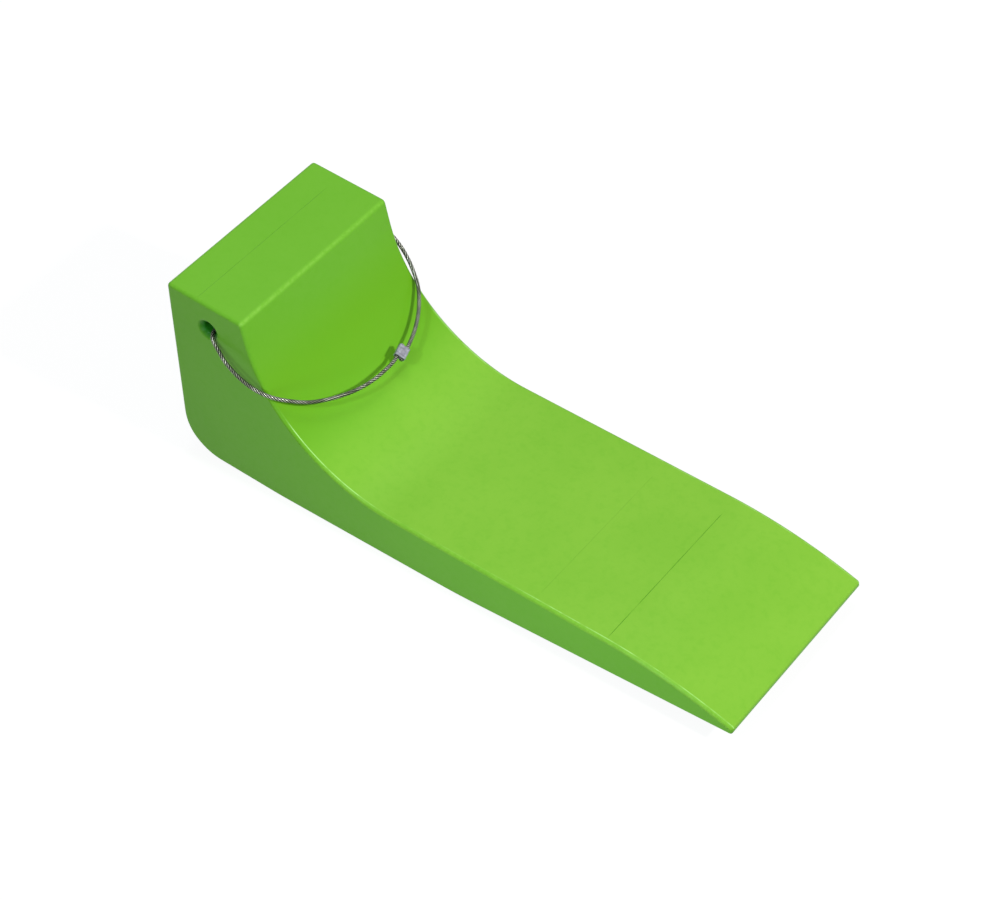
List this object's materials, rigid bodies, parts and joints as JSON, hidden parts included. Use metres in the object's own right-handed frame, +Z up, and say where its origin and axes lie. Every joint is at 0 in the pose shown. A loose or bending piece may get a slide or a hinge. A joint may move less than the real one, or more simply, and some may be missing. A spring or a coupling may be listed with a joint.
{
  "type": "wheel chock",
  "caption": "Solid moulded wheel chock with a tall square head, a curved seat for the tyre, a long low tongue and a swinging wire rope carrying loop.",
  "frame": {"origin": "middle of the block's box at the level of the underside, on the surface that it stands on", "axes": "+X from the head to the toe of the tongue, +Y across the block to the left when facing the toe, +Z up"},
  "size_m": [0.595, 0.2277, 0.2018],
  "materials": {
    "moulding": "satin moulded urethane, through-coloured bright green, slightly mottled",
    "wire_rope": "bright galvanised strands with dark gaps between them",
    "ferrule": "dull pressed aluminium"
  },
  "bodies": {
    "chock": {"chock_body": "moulding"},
    "carry_loop": {"rope_loop": "wire_rope", "crimp_ferrule": "ferrule"}
  },
  "joints": [
    {"name": "loop_swing", "type": "hinge", "parent": "chock", "child": "carry_loop", "pos_m": [-0.2535, 0, 0.1694], "axis": [0, -1, 0], "range_deg": [0, 267]}
  ]
}
